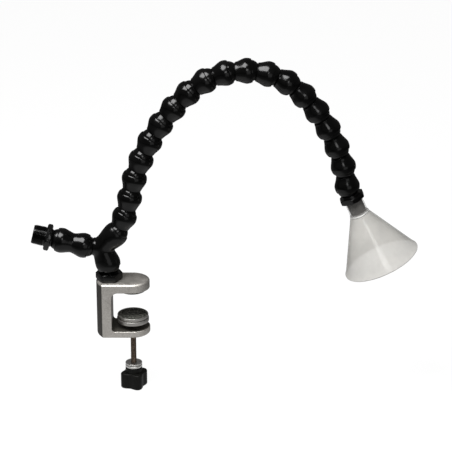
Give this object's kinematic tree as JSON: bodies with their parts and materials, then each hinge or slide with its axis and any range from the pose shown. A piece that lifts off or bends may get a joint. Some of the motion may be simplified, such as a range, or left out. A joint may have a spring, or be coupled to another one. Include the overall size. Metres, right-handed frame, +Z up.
{
  "type": "fume extraction arm",
  "caption": "Bench-clamp fume extraction arm: posable ball-and-socket hose with Y fitting, side outlet thread, funnel hood and screw clamp.",
  "frame": {"origin": "on the clamp screw's axis, in the underside of the fixed jaw pad, the face that rests on the bench top", "axes": "+Z up along the clamp screw, +X from the clamp out towards the hood, +Y away from the front; the arm lies in the XZ plane"},
  "size_m": [0.5426, 0.11, 0.4915],
  "materials": {
    "black_plastic": "moulded, semi-gloss",
    "hood_plastic": "thin translucent moulding",
    "aluminium": "fine bead-blasted, satin",
    "turned_aluminium": "turned, satin",
    "steel": "bright zinc",
    "oiled_steel": "blackened and oiled",
    "knob_plastic": "fine moulded texture",
    "rubber": "granular rubber"
  },
  "bodies": {
    "clamp": {"clamp_frame": "aluminium", "fixed_jaw_pad": "rubber", "base_connector": "black_plastic"},
    "pad": {"swivel_pad": "turned_aluminium", "pad_rubber": "rubber", "pad_retaining_ring": "steel"},
    "screw": {"clamp_screw": "oiled_steel", "knob_collar": "steel", "clamp_knob": "knob_plastic"},
    "y_fitting": {"y_fitting": "black_plastic"},
    "double_socket": {"double_socket": "black_plastic"},
    "outlet_connector": {"outlet_connector": "black_plastic"},
    "arm_link_01": {"arm_link_01": "black_plastic"},
    "arm_link_02": {"arm_link_02": "black_plastic"},
    "arm_link_03": {"arm_link_03": "black_plastic"},
    "arm_link_04": {"arm_link_04": "black_plastic"},
    "arm_link_05": {"arm_link_05": "black_plastic"},
    "arm_link_06": {"arm_link_06": "black_plastic"},
    "arm_link_07": {"arm_link_07": "black_plastic"},
    "arm_link_08": {"arm_link_08": "black_plastic"},
    "arm_link_09": {"arm_link_09": "black_plastic"},
    "arm_link_10": {"arm_link_10": "black_plastic"},
    "arm_link_11": {"arm_link_11": "black_plastic"},
    "arm_link_12": {"arm_link_12": "black_plastic"},
    "arm_link_13": {"arm_link_13": "black_plastic"},
    "arm_link_14": {"arm_link_14": "black_plastic"},
    "arm_link_15": {"arm_link_15": "black_plastic"},
    "arm_link_16": {"arm_link_16": "black_plastic"},
    "arm_link_17": {"arm_link_17": "black_plastic"},
    "arm_link_18": {"arm_link_18": "black_plastic"},
    "arm_link_19": {"arm_link_19": "black_plastic"},
    "hood": {"hood_connector": "black_plastic", "hood": "hood_plastic"}
  },
  "joints": [
    {"name": "screw_travel", "type": "slide", "parent": "clamp", "child": "pad", "axis": [0, 0, 1], "range_m": [-0.0064, 0.0365]},
    {"name": "screw_turn", "type": "hinge", "parent": "pad", "child": "screw", "pos_m": [0, 0, -0.0475], "axis": [0, 0, 1], "range_deg": [-1845, 10515]},
    {"name": "base_swivel", "type": "hinge", "parent": "clamp", "child": "y_fitting", "pos_m": [-0.0325, 0, 0.03745], "axis": [0, 0, 1], "range_deg": [-180, 180]},
    {"name": "branch_bend", "type": "hinge", "parent": "y_fitting", "child": "double_socket", "pos_m": [-0.06414, 0, 0.06668], "axis": [0, 1, 0], "range_deg": [-36, 16]},
    {"name": "outlet_sway", "type": "hinge", "parent": "double_socket", "child": "outlet_connector", "pos_m": [-0.10198, 0, 0.07611], "axis": [-0.2419, 0, -0.9703], "range_deg": [-26, 26]},
    {"name": "link_01_twist", "type": "hinge", "parent": "y_fitting", "child": "arm_link_01", "pos_m": [-0.01993, 0, 0.08705], "axis": [0.4067, 0, 0.9135], "range_deg": [-180, 180]},
    {"name": "link_02_bend", "type": "hinge", "parent": "arm_link_01", "child": "arm_link_02", "pos_m": [-0.00797, 0, 0.11391], "axis": [0, 1, 0], "range_deg": [-16, 36]},
    {"name": "link_03_sway", "type": "hinge", "parent": "arm_link_02", "child": "arm_link_03", "pos_m": [-0.00086, 0, 0.14244], "axis": [-0.9703, 0, 0.2419], "range_deg": [-25.9, 25.9]},
    {"name": "link_04_twist", "type": "hinge", "parent": "arm_link_03", "child": "arm_link_04", "pos_m": [0.00625, 0, 0.17096], "axis": [0.342, 0, 0.9397], "range_deg": [-180, 180]},
    {"name": "link_05_bend", "type": "hinge", "parent": "arm_link_04", "child": "arm_link_05", "pos_m": [0.01631, 0, 0.19859], "axis": [0, 1, 0], "range_deg": [-32, 20]},
    {"name": "link_06_sway", "type": "hinge", "parent": "arm_link_05", "child": "arm_link_06", "pos_m": [0.0292, 0, 0.22501], "axis": [-0.848, 0, 0.5299], "range_deg": [-25.3, 25.3]},
    {"name": "link_07_twist", "type": "hinge", "parent": "arm_link_06", "child": "arm_link_07", "pos_m": [0.04478, 0, 0.24995], "axis": [0.6157, 0, 0.788], "range_deg": [-180, 180]},
    {"name": "link_08_bend", "type": "hinge", "parent": "arm_link_07", "child": "arm_link_08", "pos_m": [0.06288, 0, 0.27311], "axis": [0, 1, 0], "range_deg": [-32, 20]},
    {"name": "link_09_sway", "type": "hinge", "parent": "arm_link_08", "child": "arm_link_09", "pos_m": [0.0833, 0, 0.29426], "axis": [-0.5807, 0, 0.8141], "range_deg": [-23.9, 23.9]},
    {"name": "link_10_twist", "type": "hinge", "parent": "arm_link_09", "child": "arm_link_10", "pos_m": [0.10723, 0, 0.31134], "axis": [0.9397, 0, 0.342], "range_deg": [-180, 180]},
    {"name": "link_11_bend", "type": "hinge", "parent": "arm_link_10", "child": "arm_link_11", "pos_m": [0.13486, 0, 0.32139], "axis": [0, 1, 0], "range_deg": [-41.5, 10.5]},
    {"name": "link_12_sway", "type": "hinge", "parent": "arm_link_11", "child": "arm_link_12", "pos_m": [0.16417, 0, 0.3237], "axis": [0.1908, 0, 0.9816], "range_deg": [-21.1, 21.1]},
    {"name": "link_13_twist", "type": "hinge", "parent": "arm_link_12", "child": "arm_link_13", "pos_m": [0.19303, 0, 0.31809], "axis": [0.8949, 0, -0.4462], "range_deg": [-180, 180]},
    {"name": "link_14_bend", "type": "hinge", "parent": "arm_link_13", "child": "arm_link_14", "pos_m": [0.21934, 0, 0.30497], "axis": [0, 1, 0], "range_deg": [-41.5, 10.5]},
    {"name": "link_15_sway", "type": "hinge", "parent": "arm_link_14", "child": "arm_link_15", "pos_m": [0.24119, 0, 0.2853], "axis": [0.788, 0, 0.6157], "range_deg": [-24.1, 24.1]},
    {"name": "link_16_twist", "type": "hinge", "parent": "arm_link_15", "child": "arm_link_16", "pos_m": [0.25929, 0, 0.26213], "axis": [0.518, 0, -0.8554], "range_deg": [-180, 180]},
    {"name": "link_17_bend", "type": "hinge", "parent": "arm_link_16", "child": "arm_link_17", "pos_m": [0.27452, 0, 0.23698], "axis": [0, 1, 0], "range_deg": [-32.8, 19.2]},
    {"name": "link_18_sway", "type": "hinge", "parent": "arm_link_17", "child": "arm_link_18", "pos_m": [0.28667, 0, 0.21021], "axis": [0.9532, 0, 0.3024], "range_deg": [-25.1, 25.1]},
    {"name": "link_19_twist", "type": "hinge", "parent": "arm_link_18", "child": "arm_link_19", "pos_m": [0.29556, 0, 0.18218], "axis": [0.1874, 0, -0.9823], "range_deg": [-180, 180]},
    {"name": "hood_bend", "type": "hinge", "parent": "arm_link_19", "child": "hood", "pos_m": [0.30106, 0, 0.1533], "axis": [0, 1, 0], "range_deg": [-12, 40]}
  ],
  "couplings": [
    {"joint": "screw_turn", "follows": "screw_travel", "rad_per_m": 5026.5}
  ]
}
